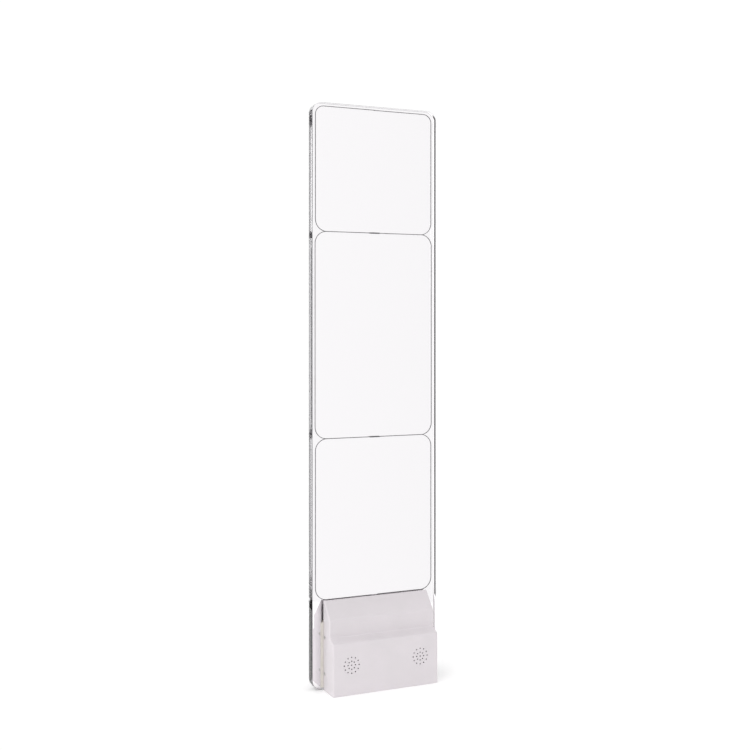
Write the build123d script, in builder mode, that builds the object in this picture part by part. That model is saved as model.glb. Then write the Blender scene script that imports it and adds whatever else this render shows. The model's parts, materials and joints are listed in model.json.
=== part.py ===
"""Retail security gate: a free-standing clear acrylic antenna pedestal on a two-sided base.

+X runs along the panel's width, +Y to the rear, +Z up. The origin is on the floor under
the middle of the panel. All lengths are in millimetres.
"""
import os
from math import cos, radians, sin, tan

from build123d import *

# Panel: two bonded sheets, meeting at depth 0
panel_width = 375
panel_height = 1600
panel_thickness = 30
panel_corner = 28
face = panel_thickness / 2

# Antenna loops: one groove network, three windows stacked on each other
loop_reach = 176
loop_levels = (242.5, 682, 1249, 1591.2)
loop_corner = 33
loop_top_corner = 24
channel_width = 2.4
channel_half = 4
strand_width = 1.6
strand_depth = 3
front_strand = 3.4
rear_strand = -0.4
leg_spread = 3.5
leg_mouth = 10
leg_bend = 235
leg_foot = 203
sleeve_length = 30
sleeve_height = 3.2
sleeve_wall = 0.5

# Covers
cover_width = 312
cover_depth = 72
front_top, rear_top = 242.5, 240
cover_wall = 3
cover_lift = 0.5
front_ridge, rear_ridge = (45, 198), (57, 186)
front_waist, rear_waist = (45.4, 151), (57.4, 151)
step_height = 140
lip_depth = 3
lip_height = 11
lip_wall = 2.2
rib_height = 4
cover_round = 5
end_round = 4
gap = 0.3
grille_spacing = 204
grille_height = 80.5
grille_hole = 1.9
grille_rings = ((10.65, 8), (21.4, 12))
cover_front = face + cover_depth
inner_front = cover_front - cover_wall
inner_end = cover_width / 2 - cover_wall

# Clamping brackets
pad = 1
plate = 4
plate_height = 184
plate_reach = inner_end - gap
plate_face = face + pad + plate
foot_reach = 140
foot_end = 80
relief_height = 10
gusset_height = 76
tab_end = 36
tab_half_height = 10
clamp_spots = [(x, z) for x in (-50, 50) for z in (45, 150)]
clamp_hole = 5.25
clamp_bolt = 5
washer = 2
washer_radius = 10
hex_radius = 9.8
anchor_x, anchor_y = 110, 60
anchor_radius = 5.5

# Cable entry in the rear foot: a small plate over a notch carries the gland
gland_x, gland_y = 70, 66
gland_radius = 8
gland_bore = 3.5
gland_top = 14
entry_width, entry_length = 40, 26
entry_sheet = 2
entry_screw_x = 16
notch_half = 12

# Cover screws
screw_out = 25
screw_heights = (46, 144.5)
screw_radius = 2
recess = 1.2
head_radius = 4
head_height = 2.4
small_screw = 1.5
small_head = 2.8

# Sealing strips
seal_width = 8
seal_depth = 2
seal_foot = 7

# Speakers
speaker_x = grille_spacing / 2
mount_size = 66
speaker_pitch = 50
mount_sheet = 1.5
speaker_setback = 4
mount_front = 80 - speaker_setback
rim_front = mount_front + 2 * mount_sheet

# Main board, parallel to the rear bracket; depths behind the panel are negative
board_width = 240
board_height = 125
board_middle = 80.5
board_sheet = 1.6
board_back = -(plate_face + 14)
board_top = board_back - board_sheet

# Lead passage through the panel
passage_x, passage_z = -45, 200
passage_radius = 8
grommet_lip = 2
lead_offset = 2.6

fit = 0.05


def facing(depth):
    """Upright plane at a depth in front of the panel's middle; its normal points forward."""
    return Plane.XZ.offset(depth)


def end_plane(x):
    """Upright plane across the panel; local axes are the rear direction and up."""
    return Plane.YZ.offset(x)


def bend_radii(points):
    """Arc radii that use 45% of the shorter run on each side of every bend."""
    radii = []
    for before, here, after in zip(points, points[1:], points[2:]):
        first = Vector(*here) - Vector(*before)
        second = Vector(*after) - Vector(*here)
        turn = radians(first.get_angle(second))
        radii.append(0.45 * min(first.length, second.length) / tan(turn / 2))
    return radii


def lead(points, radius):
    """Insulated lead: straight runs joined by tangent arcs."""
    start = Vector(*points[0])
    with BuildPart() as tube:
        with BuildLine() as route:
            FilletPolyline(*points, radius=bend_radii(points))
        with BuildSketch(Plane(origin=start, z_dir=Vector(*points[1]) - start)):
            Circle(radius)
        sweep(path=route.wires()[0])
    return tube.part


def antenna_run(side, width, front, depth, foot):
    """Rectangular bar along one strand's route: up one side, across, up the other, across."""
    low, lower, upper, top = loop_levels
    reach = side * loop_reach
    corners = [
        (side * leg_spread, foot),
        (side * leg_spread, leg_bend),
        (side * leg_mouth, low),
        (reach, low),
        (reach, lower),
        (-reach, lower),
        (-reach, upper),
        (reach, upper),
        (reach, top),
        (0, top),
    ]
    radii = [2, 2] + [loop_corner] * 5 + [loop_top_corner]
    middle = front - depth / 2
    with BuildPart() as bar:
        with BuildLine(facing(middle)) as route:
            FilletPolyline(*corners, radius=radii)
        with BuildSketch(Plane.XY.offset(foot)):
            with Locations((side * leg_spread, -middle)):
                Rectangle(width, depth)
        sweep(path=route.wires()[0])
    return bar.part


# Acrylic sheets: bonded face to face around the antenna channel, drilled for the bolts and leads
channel_cutters = [
    antenna_run(side, channel_width, channel_half, 2 * channel_half, leg_foot - 2) for side in (-1, 1)
]


def acrylic_sheet(back):
    with BuildPart() as sheet:
        with BuildSketch(facing(back)):
            with Locations((0, panel_height / 2)):
                RectangleRounded(panel_width, panel_height, panel_corner)
        extrude(amount=face)
        outer_face = sheet.faces().filter_by(Axis.Y).sort_by(Axis.Y)[0 if back == 0 else -1]
        chamfer(outer_face.edges(), length=0.6)
        add(channel_cutters, mode=Mode.SUBTRACT)
        with BuildSketch(facing(channel_half)):
            with Locations(*[(0, level) for level in loop_levels[1:3]]):
                Rectangle(sleeve_length + 1, sleeve_height + 0.4)
        extrude(amount=-2 * channel_half, mode=Mode.SUBTRACT)
        with BuildSketch(facing(face)):
            with Locations(*clamp_spots):
                Circle(clamp_hole)
            with Locations((passage_x, passage_z)):
                Circle(passage_radius)
        extrude(amount=-panel_thickness, mode=Mode.SUBTRACT)
    return sheet


rear_sheet = acrylic_sheet(-face)
with BuildPart() as front_sheet:
    add(acrylic_sheet(0).part)
    with BuildSketch(facing(face)):
        with Locations((0, leg_foot + 1)):
            Rectangle(2 * leg_spread + 5, 6)
    extrude(amount=-face, mode=Mode.SUBTRACT)

# Antenna conductor: two flat strands, one behind the other, joined at the top
strands = [
    antenna_run(-1, strand_width, front_strand, strand_depth, leg_foot),
    antenna_run(1, strand_width, rear_strand, strand_depth, leg_foot),
]
tongue = face + 2
with BuildPart() as antenna_conductor:
    add(strands)
    with BuildSketch(facing(rear_strand - strand_depth)):
        with Locations((0, loop_levels[3])):
            Rectangle(3, strand_width)
    extrude(amount=front_strand - rear_strand + strand_depth)
    for side, back in ((-1, front_strand), (1, rear_strand)):
        with BuildSketch(facing(back - strand_depth)):
            with Locations((side * leg_spread, leg_foot + 1.5)):
                Rectangle(strand_width, 3)
        extrude(amount=tongue - back + strand_depth)

# Crossover sleeves where the strands change sides
with BuildPart() as crossover_sleeves:
    with BuildSketch(facing(rear_strand - strand_depth - sleeve_wall)):
        with Locations(*[(0, level) for level in loop_levels[1:3]]):
            RectangleRounded(sleeve_length, sleeve_height, 1)
    extrude(amount=front_strand - rear_strand + strand_depth + 2 * sleeve_wall)
    for front in (front_strand, rear_strand):
        with BuildSketch(facing(front + fit)):
            with Locations(*[(0, level) for level in loop_levels[1:3]]):
                Rectangle(sleeve_length, strand_width + 2 * fit)
        extrude(amount=-strand_depth - 2 * fit, mode=Mode.SUBTRACT)

# Feed connector on the panel's front face
with BuildPart() as feed_connector:
    with BuildSketch(facing(face + 0.1)):
        with Locations((0, leg_foot + 1)):
            RectangleRounded(24, 16, 1.5)
    extrude(amount=8)
    with BuildSketch(facing(face + 0.1)):
        with Locations((-leg_spread, leg_foot + 1.5), (leg_spread, leg_foot + 1.5)):
            Rectangle(2.2, 4)
    extrude(amount=2.5, mode=Mode.SUBTRACT)

# Brackets: plate against the panel, foot on the floor, gussets, slotted tabs for the covers
with BuildPart() as bracket_blank:
    with BuildSketch(facing(plate_face - plate)):
        with Locations((0, plate_height / 2)):
            Rectangle(2 * plate_reach, plate_height)
        with Locations(*[(side * (foot_reach + 10), relief_height / 2) for side in (-1, 1)]):
            Rectangle(20, relief_height, mode=Mode.SUBTRACT)
    extrude(amount=plate)
    with BuildSketch(Plane.XY):
        with Locations((0, -(plate_face + foot_end) / 2)):
            Rectangle(2 * foot_reach, foot_end - plate_face)
    extrude(amount=plate)
    for side in (-1, 1):
        with BuildSketch(end_plane(side * foot_reach)):
            with BuildLine():
                Polyline(
                    (-plate_face, plate),
                    (-plate_face, gusset_height),
                    (-foot_end + 6, plate),
                    close=True,
                )
            make_face()
        extrude(amount=-side * plate)
        with BuildSketch(end_plane(side * plate_reach)):
            for height in screw_heights:
                with Locations((-(plate_face + tab_end) / 2, height)):
                    Rectangle(tab_end - plate_face, 2 * tab_half_height)
            for height in screw_heights:
                with Locations((-screw_out, height)):
                    Circle(screw_radius + gap, mode=Mode.SUBTRACT)
                with Locations((-screw_out - 10, height)):
                    Rectangle(20, 2 * (screw_radius + gap), mode=Mode.SUBTRACT)
        extrude(amount=-side * plate)
    with BuildSketch(facing(plate_face)):
        with Locations(*clamp_spots):
            Circle(clamp_hole)
    extrude(amount=-plate, mode=Mode.SUBTRACT)
    with BuildSketch(Plane.XY):
        with Locations((-anchor_x, -anchor_y), (anchor_x, -anchor_y)):
            Circle(anchor_radius)
    extrude(amount=plate, mode=Mode.SUBTRACT)

mount_screws = [
    (side * speaker_x, grille_height + up * (mount_size / 2 + 6)) for side in (-1, 1) for up in (-1, 1)
]
with BuildPart() as front_bracket:
    add(bracket_blank.part)
    with BuildSketch(facing(plate_face)):
        with Locations(*mount_screws):
            Circle(screw_radius + fit)
    extrude(amount=-plate, mode=Mode.SUBTRACT)

board_corners = [(x, board_middle + z) for x in (-112, 112) for z in (-55, 55)]
entry_screws = [(gland_x + side * entry_screw_x, gland_y) for side in (-1, 1)]
with BuildPart() as rear_bracket:
    add(bracket_blank.part)
    mirror(about=Plane.XZ, mode=Mode.REPLACE)
    with BuildSketch(facing(-plate_face)):
        with Locations(*board_corners):
            Circle(small_screw + fit)
    extrude(amount=plate, mode=Mode.SUBTRACT)
    with BuildSketch(Plane.XY):
        with Locations((gland_x, gland_y + notch_half)):
            Rectangle(2 * notch_half, 4 * notch_half)
        with Locations(*entry_screws):
            Circle(small_screw + fit)
    extrude(amount=plate, mode=Mode.SUBTRACT)
with BuildPart() as entry_plate:
    with BuildSketch(Plane.XY.offset(plate)):
        with Locations((gland_x, gland_y)):
            RectangleRounded(entry_width, entry_length, 3)
        with Locations((gland_x, gland_y)):
            Circle(gland_radius, mode=Mode.SUBTRACT)
        with Locations(*entry_screws):
            Circle(small_screw + fit, mode=Mode.SUBTRACT)
    extrude(amount=entry_sheet)
with BuildPart() as entry_plate_screws:
    for radius, height in ((small_head, 2), (small_screw, -entry_sheet - plate + 0.5)):
        with BuildSketch(Plane.XY.offset(plate + entry_sheet)):
            with Locations(*entry_screws):
                Circle(radius)
        extrude(amount=height)

# Rubber pads between the brackets and the panel
with BuildPart() as clamp_pads:
    for depth in (face, -face - pad):
        with BuildSketch(facing(depth)):
            with Locations((0, (plate_height + relief_height) / 2)):
                Rectangle(2 * foot_reach - 4, plate_height - relief_height - 6)
            with Locations(*clamp_spots):
                Circle(clamp_hole, mode=Mode.SUBTRACT)
        extrude(amount=pad)

# Clamp bolts right through the panel, heads to the rear
with BuildPart() as clamp_bolts:
    with BuildSketch(facing(-plate_face - washer)):
        with Locations(*clamp_spots):
            RegularPolygon(hex_radius, 6)
    extrude(amount=-6.4)
    with BuildSketch(facing(-plate_face - washer)):
        with Locations(*clamp_spots):
            Circle(clamp_bolt)
    extrude(amount=2 * plate_face + 13 + washer)
with BuildPart() as clamp_washers:
    for depth in (plate_face, -plate_face - washer):
        with BuildSketch(facing(depth)):
            with Locations(*clamp_spots):
                Circle(washer_radius)
                Circle(clamp_hole, mode=Mode.SUBTRACT)
        extrude(amount=washer)
with BuildPart() as clamp_nuts:
    with BuildSketch(facing(plate_face + washer)):
        with Locations(*clamp_spots):
            RegularPolygon(hex_radius, 6)
            Circle(clamp_bolt + fit, mode=Mode.SUBTRACT)
    extrude(amount=8)

# Covers: thin shells, open towards the panel and the floor
def cover_shell(top, ridge, waist):
    """Shell in front of the panel; ridge and waist are points (depth, height) of its outline."""
    slope = [
        (-cover_front, step_height),
        (-face - waist[0], waist[1]),
        (-face - ridge[0], ridge[1]),
        (-face - lip_depth, top),
    ]
    foot = (-cover_front, cover_lift)
    with BuildPart() as shell:
        with BuildSketch(Plane.YZ) as outline:
            with BuildLine():
                Polyline((-face - gap, cover_lift), foot, *slope, (-face - gap, top), close=True)
            make_face()
            fillet(outline.vertices().filter_by_position(Axis.Y, 130, 210), radius=cover_round)
        extrude(amount=cover_width / 2, both=True)
        end_edges = shell.faces().filter_by(Axis.X).edges()
        soft_edges = end_edges.filter_by_position(Axis.Y, -cover_front, -face - 10)
        fillet(soft_edges.filter_by_position(Axis.Z, cover_lift + 1, top), radius=end_round)
        below = cover_lift - 10
        with BuildSketch(Plane.YZ):
            with BuildLine():
                Polyline((-face + 10, below), (-cover_front, below), *slope, (-face + 10, top), close=True)
            make_face()
            offset(amount=-cover_wall, kind=Kind.INTERSECTION)
        extrude(amount=inner_end, both=True, mode=Mode.SUBTRACT)
        with BuildSketch(facing(inner_front)):
            with Locations(*[(x, 72) for x in (-40, 0, 40)]):
                Rectangle(1.6, 120)
        extrude(amount=-rib_height)
        with BuildSketch(Plane.YZ):
            with Locations((-face - gap - lip_wall / 2, top - 1 - lip_height / 2)):
                Rectangle(lip_wall, lip_height - 1)
        extrude(amount=inner_end, both=True)
        with BuildSketch(facing(cover_front)):
            with Locations((-grille_spacing / 2, grille_height), (grille_spacing / 2, grille_height)):
                Circle(grille_hole)
                for ring_radius, holes in grille_rings:
                    with PolarLocations(ring_radius, holes):
                        Circle(grille_hole)
        extrude(amount=-cover_wall - 1, mode=Mode.SUBTRACT)
        for side in (-1, 1):
            for radius, depth in ((head_radius + 0.75, recess), (screw_radius + 0.25, cover_wall + 1)):
                with BuildSketch(end_plane(side * cover_width / 2)):
                    with Locations(*[(-screw_out, height) for height in screw_heights]):
                        Circle(radius)
                extrude(amount=-side * depth, mode=Mode.SUBTRACT)
    return shell.part


with BuildPart() as front_cover:
    add(cover_shell(front_top, front_ridge, front_waist))
with BuildPart() as rear_cover:
    add(cover_shell(rear_top, rear_ridge, rear_waist))
    mirror(about=Plane.XZ, mode=Mode.REPLACE)

# Cover screws and their nuts
with BuildPart() as front_cover_screws:
    for side in (-1, 1):
        seat = side * (cover_width / 2 - recess)
        spots = [(-screw_out, height) for height in screw_heights]
        with BuildSketch(end_plane(seat)):
            with Locations(*spots):
                Circle(head_radius)
        extrude(amount=side * head_height)
        with BuildSketch(end_plane(seat)):
            with Locations(*spots):
                Circle(screw_radius)
        extrude(amount=-side * 10.8)
        with BuildSketch(end_plane(seat + side * head_height)):
            with Locations(*spots):
                Rectangle(4.4, 0.9)
                Rectangle(0.9, 4.4)
        extrude(amount=-side * 1.4, mode=Mode.SUBTRACT)
    rims = front_cover_screws.edges().filter_by(GeomType.CIRCLE).sort_by(Axis.X)
    fillet([rims[0], rims[1], rims[-1], rims[-2]], radius=0.9)
with BuildPart() as front_cover_nuts:
    for side in (-1, 1):
        with BuildSketch(end_plane(side * (plate_reach - plate - gap))):
            with Locations(*[(-screw_out, height) for height in screw_heights]):
                RegularPolygon(4.04, 6)
                Circle(screw_radius + fit, mode=Mode.SUBTRACT)
        extrude(amount=-side * 3.2)

# Rear cover set: the same mouldings and fasteners, turned to face the rear
with BuildPart() as rear_cover_screws:
    add(front_cover_screws.part)
    mirror(about=Plane.XZ, mode=Mode.REPLACE)
with BuildPart() as rear_cover_nuts:
    add(front_cover_nuts.part)
    mirror(about=Plane.XZ, mode=Mode.REPLACE)

# Sealing strips on the panel's front face, along both ends of the front cover
with BuildPart() as seal_strips:
    seal_x = cover_width / 2 + gap + seal_width / 2
    seal_z = (seal_foot + plate_height) / 2
    with BuildSketch(facing(face)):
        with Locations((-seal_x, seal_z), (seal_x, seal_z)):
            RectangleRounded(seal_width, plate_height - seal_foot, 1)
    extrude(amount=seal_depth)

# Grommet that lines the lead passage
with BuildPart() as cable_grommet:
    with BuildSketch(facing(-face)):
        with Locations((passage_x, passage_z)):
            Circle(passage_radius)
    extrude(amount=panel_thickness)
    for depth in (face, -face - grommet_lip):
        with BuildSketch(facing(depth)):
            with Locations((passage_x, passage_z)):
                Circle(passage_radius + 2.5)
        extrude(amount=grommet_lip)
    with BuildSketch(facing(-face - grommet_lip)):
        with Locations((passage_x, passage_z)):
            Circle(passage_radius - 2)
    extrude(amount=panel_thickness + 2 * grommet_lip, mode=Mode.SUBTRACT)

# Speaker mounts: hat-shaped sheet brackets on the front bracket
with BuildPart() as speaker_mounts:
    for side in (-1, 1):
        middle = side * speaker_x
        half = mount_size / 2
        with BuildSketch(facing(mount_front)):
            with Locations((middle, grille_height)):
                Rectangle(mount_size, mount_size)
                Circle(26.5, mode=Mode.SUBTRACT)
                with GridLocations(speaker_pitch, speaker_pitch, 2, 2):
                    Circle(small_screw, mode=Mode.SUBTRACT)
        extrude(amount=mount_sheet)
        with BuildSketch(facing(plate_face)):
            for up in (-1, 1):
                with Locations((middle, grille_height + up * (half - mount_sheet / 2))):
                    Rectangle(mount_size, mount_sheet)
        extrude(amount=mount_front - plate_face)
        with BuildSketch(facing(plate_face)):
            for up in (-1, 1):
                with Locations((middle, grille_height + up * (half + 6))):
                    Rectangle(mount_size, 12.02)
                    Circle(screw_radius + fit, mode=Mode.SUBTRACT)
        extrude(amount=mount_sheet)
with BuildPart() as speaker_mount_screws:
    with BuildSketch(facing(plate_face + mount_sheet)):
        with Locations(*mount_screws):
            Circle(head_radius - 0.4)
    extrude(amount=head_height)
    with BuildSketch(facing(plate_face + mount_sheet)):
        with Locations(*mount_screws):
            Circle(screw_radius)
    extrude(amount=-5)


def speaker_section(side):
    """Plane through a speaker's axis: local x is the radius, local y the depth before the setback."""
    base = (side * speaker_x, speaker_setback, grille_height)
    return Plane(origin=base, x_dir=(1, 0, 0), z_dir=(0, 0, -1))


def speaker_axis(side):
    return Axis((side * speaker_x, 0, grille_height), (0, -1, 0))


# Speakers: frame, magnet, moving cone, foam gasket and screws
basket_profile = (
    (24.6, 82.6),
    (24.6, 78),
    (15, 69.5),
    (12.2, 69.5),
    (12.2, 68),
    (15.6, 68),
    (25.8, 77.2),
    (25.8, 82.6),
)
with BuildPart() as speaker_frames:
    for side in (-1, 1):
        with BuildSketch(speaker_section(side)):
            with BuildLine():
                Polyline(*basket_profile, close=True)
            make_face()
        revolve(axis=speaker_axis(side))
        with BuildSketch(facing(66 - speaker_setback)):
            with Locations((side * speaker_x, grille_height)):
                with PolarLocations(20.4, 4, start_angle=45):
                    Rectangle(6.4, 13)
        extrude(amount=11, mode=Mode.SUBTRACT)
        with BuildSketch(facing(mount_front + mount_sheet)):
            with Locations((side * speaker_x, grille_height)):
                RectangleRounded(58, 58, 5)
                Circle(24.6, mode=Mode.SUBTRACT)
                with GridLocations(speaker_pitch, speaker_pitch, 2, 2):
                    Circle(small_screw, mode=Mode.SUBTRACT)
        extrude(amount=mount_sheet)
magnet_profile = (
    (0, 58),
    (16, 58),
    (16, 67.9),
    (11, 67.9),
    (11, 61),
    (9.2, 61),
    (9.2, 67.9),
    (0, 67.9),
)
with BuildPart() as speaker_magnets:
    for side in (-1, 1):
        with BuildSketch(speaker_section(side)):
            with BuildLine():
                Polyline(*magnet_profile, close=True)
            make_face()
        revolve(axis=speaker_axis(side))
cone_profile = (
    (24.2, 82.6),
    (24.2, 81.8),
    (10.4, 74.2),
    (10.4, 63.5),
    (9.8, 63.5),
    (9.8, 74.8),
    (0, 76.8),
    (0, 77.6),
    (10.2, 75.4),
)


def speaker_cone(side):
    with BuildPart() as cone:
        with BuildSketch(speaker_section(side)):
            with BuildLine():
                Polyline(*cone_profile, close=True)
            make_face()
        revolve(axis=speaker_axis(side))
    return cone


left_speaker_cone = speaker_cone(-1)
right_speaker_cone = speaker_cone(1)
with BuildPart() as speaker_gaskets:
    with BuildSketch(facing(rim_front)):
        with Locations((-speaker_x, grille_height), (speaker_x, grille_height)):
            Circle(29)
            Circle(25, mode=Mode.SUBTRACT)
    extrude(amount=inner_front - gap - rim_front)
with BuildPart() as speaker_screws:
    for radius, depth in ((2.6, 2), (small_screw - fit, -6)):
        with BuildSketch(facing(rim_front)):
            with Locations((-speaker_x, grille_height), (speaker_x, grille_height)):
                with GridLocations(speaker_pitch, speaker_pitch, 2, 2):
                    Circle(radius)
        extrude(amount=depth)

# Alarm light bar against the panel's front face
light_z = 223
light_xs = [x for x in range(-112, 113, 16) if x != 0]
with BuildPart() as alarm_light_board:
    with BuildSketch(facing(face + 1.5)):
        with Locations((0, light_z)):
            Rectangle(240, 10)
    extrude(amount=1.6)
with BuildPart() as alarm_leds:
    with BuildSketch(facing(face + 0.2)):
        with Locations(*[(x, light_z) for x in light_xs]):
            RectangleRounded(5, 5, 0.6)
    extrude(amount=1.3)

# Main board on its standoffs
with BuildPart() as main_board:
    with BuildSketch(facing(board_top)):
        with Locations((0, board_middle)):
            RectangleRounded(board_width, board_height, 3)
        with Locations(*board_corners):
            Circle(small_screw + fit, mode=Mode.SUBTRACT)
    extrude(amount=board_sheet)
with BuildPart() as board_standoffs:
    with BuildSketch(facing(board_back)):
        with Locations(*board_corners):
            RegularPolygon(3.5, 6)
            Circle(small_screw + fit, mode=Mode.SUBTRACT)
    extrude(amount=-board_back - plate_face)
with BuildPart() as board_screws:
    for radius, depth in ((small_head, -2), (small_screw, 8)):
        with BuildSketch(facing(board_top)):
            with Locations(*board_corners):
                Circle(radius)
        extrude(amount=depth)

# Power supply: transformer, smoothing capacitors, transistors on a heatsink
core_x, core_z = 84, 52
core_middle = board_top - 16.4
with BuildPart() as transformer_core:
    with BuildSketch(facing(core_middle - 9)):
        with Locations((core_x, core_z)):
            Rectangle(50, 42)
        with Locations((core_x - 11.5, core_z), (core_x + 11.5, core_z)):
            Rectangle(9, 30, mode=Mode.SUBTRACT)
    extrude(amount=18)
with BuildPart() as transformer_winding:
    with BuildSketch(Plane.XY.offset(core_z - 14.6)):
        with Locations((core_x, -core_middle)):
            RectangleRounded(31.4, 32, 5)
            Rectangle(14.4, 18.4, mode=Mode.SUBTRACT)
    extrude(amount=29.2)
with BuildPart() as smoothing_capacitors:
    with BuildSketch(facing(board_top)):
        with Locations(*[(42, z) for z in (36, 58, 80)]):
            Circle(9)
    extrude(amount=-30)
    capacitor_ends = smoothing_capacitors.edges().filter_by(GeomType.CIRCLE)
    fillet(capacitor_ends.filter_by_position(Axis.Y, -board_top + 29, -board_top + 31), radius=1)
heatsink_x, heatsink_z = 2, 60
with BuildPart() as heatsink:
    with BuildSketch(facing(board_top)):
        with Locations((heatsink_x, heatsink_z)):
            Rectangle(50, 3)
        with Locations(*[(heatsink_x - 24 + 8 * step, heatsink_z + 8) for step in range(7)]):
            Rectangle(1.6, 14)
    extrude(amount=-28)
with BuildPart() as power_transistors:
    with BuildSketch(facing(board_top - 4)):
        with Locations(*[(heatsink_x + x, heatsink_z - 3.8) for x in (-14, 14)]):
            Rectangle(10, 4.4)
    extrude(amount=-16)

# Signal electronics
with BuildPart() as signal_chips:
    with BuildSketch(facing(board_top)):
        with Locations((-20, 100)):
            Rectangle(20, 20)
        with Locations((-62, 84)):
            Rectangle(14, 14)
        with Locations((12, 104), (12, 118)):
            Rectangle(24, 7)
    extrude(amount=-2.4)
terminal_ways = [-70 + 10 * way for way in range(4)]
terminal_z = 134
supply_ways = [60, 70, 80]
supply_z = 24
with BuildPart() as terminal_blocks:
    with BuildSketch(facing(board_top)):
        with Locations((-55, terminal_z)):
            Rectangle(42, 12)
        with Locations((70, supply_z)):
            Rectangle(32, 9)
    extrude(amount=-12)
    with BuildSketch(facing(board_top - 12)):
        with Locations(*[(x, terminal_z) for x in terminal_ways]):
            Circle(2.2)
        with Locations(*[(x, supply_z) for x in supply_ways]):
            Circle(2.2)
    extrude(amount=4, mode=Mode.SUBTRACT)
    with BuildSketch(Plane.XY.offset(terminal_z + 6)):
        with Locations(*[(x, -board_top + 5) for x in terminal_ways]):
            Circle(2)
    extrude(amount=-6, mode=Mode.SUBTRACT)
with BuildPart() as terminal_screws:
    with BuildSketch(facing(board_top - 8)):
        with Locations(*[(x, terminal_z) for x in terminal_ways]):
            Circle(2.1)
            Rectangle(3.4, 0.7, mode=Mode.SUBTRACT)
        with Locations(*[(x, supply_z) for x in supply_ways]):
            Circle(2.1)
            Rectangle(3.4, 0.7, mode=Mode.SUBTRACT)
    extrude(amount=-3)
    with BuildSketch(facing(board_top - 8)):
        with Locations(*[(x, terminal_z) for x in terminal_ways]):
            Circle(2.1)
        with Locations(*[(x, supply_z) for x in supply_ways]):
            Circle(2.1)
    extrude(amount=-1.5)

# Service controls: two trimmers, a mode switch, a reset button and a power rocker
trimmer_x = -95
trimmer_zs = (108, 88)
with BuildPart() as trimmer_housings:
    with BuildSketch(facing(board_top)):
        with Locations(*[(trimmer_x, z) for z in trimmer_zs]):
            Rectangle(10, 10)
    extrude(amount=-6)
    with BuildSketch(facing(board_top - 6)):
        with Locations(*[(trimmer_x, z) for z in trimmer_zs]):
            Circle(3 + gap)
    extrude(amount=3, mode=Mode.SUBTRACT)


def trimmer(z):
    with BuildPart() as rotor:
        with BuildSketch(facing(board_top - 3 - gap)):
            with Locations((trimmer_x, z)):
                Circle(3)
        extrude(amount=-3.4)
        with BuildSketch(facing(board_top - 6.4 - gap)):
            with Locations((trimmer_x, z)):
                Rectangle(5, 0.9)
                with Locations((1.6, 0)):
                    Rectangle(1.8, 1.8)
        extrude(amount=1.4, mode=Mode.SUBTRACT)
    return rotor


sensitivity_trimmer = trimmer(trimmer_zs[0])
volume_trimmer = trimmer(trimmer_zs[1])
mode_z = 66
mode_travel = 3
with BuildPart() as mode_switch_body:
    with BuildSketch(facing(board_top)):
        with Locations((trimmer_x, mode_z)):
            Rectangle(12, 6.4)
    extrude(amount=-5)
    with BuildSketch(facing(board_top - 5)):
        with Locations((trimmer_x, mode_z)):
            Rectangle(6.8, 2.6)
    extrude(amount=3, mode=Mode.SUBTRACT)
with BuildPart() as mode_switch_slider:
    with BuildSketch(facing(board_top - 2 - gap)):
        with Locations((trimmer_x - mode_travel / 2, mode_z)):
            Rectangle(2.6, 2)
    extrude(amount=-5.6)
reset_z = 46
with BuildPart() as reset_switch_body:
    with BuildSketch(facing(board_top)):
        with Locations((trimmer_x, reset_z)):
            RectangleRounded(12, 12, 1)
    extrude(amount=-4)
    with BuildSketch(facing(board_top - 4)):
        with Locations((trimmer_x, reset_z)):
            Circle(3 + gap)
    extrude(amount=3.4, mode=Mode.SUBTRACT)
with BuildPart() as reset_button:
    with BuildSketch(facing(board_top - 2)):
        with Locations((trimmer_x, reset_z)):
            Circle(3)
    extrude(amount=-6)
    fillet(reset_button.edges().filter_by(GeomType.CIRCLE).sort_by(Axis.Y)[-1], radius=0.6)
rocker_x, rocker_z = 96, 116
pivot_depth = board_top - 8.4
rocker_tilt = radians(10)
with BuildPart() as power_switch_body:
    with BuildSketch(facing(board_top)):
        with Locations((rocker_x, rocker_z)):
            RectangleRounded(24, 16, 1.5)
    extrude(amount=-10.4)
    with BuildSketch(facing(board_top - 10.4)):
        with Locations((rocker_x, rocker_z)):
            Rectangle(19, 12)
    extrude(amount=8, mode=Mode.SUBTRACT)
    with BuildSketch(end_plane(rocker_x - 11)):
        with Locations((-pivot_depth, rocker_z)):
            Circle(1.2 + fit)
    extrude(amount=22, mode=Mode.SUBTRACT)
rocker_plane = Plane(
    origin=(rocker_x, -pivot_depth, rocker_z),
    x_dir=(0, cos(rocker_tilt), -sin(rocker_tilt)),
    z_dir=(1, 0, 0),
)
with BuildPart() as power_rocker:
    with BuildSketch(rocker_plane):
        with BuildLine():
            Polyline((-3, -5), (4.6, -5), (3.4, 0), (4.6, 5), (-3, 5), close=True)
        make_face()
    extrude(amount=9, both=True)
    with BuildSketch(rocker_plane):
        Circle(1.2)
    extrude(amount=10.6, both=True)

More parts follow.
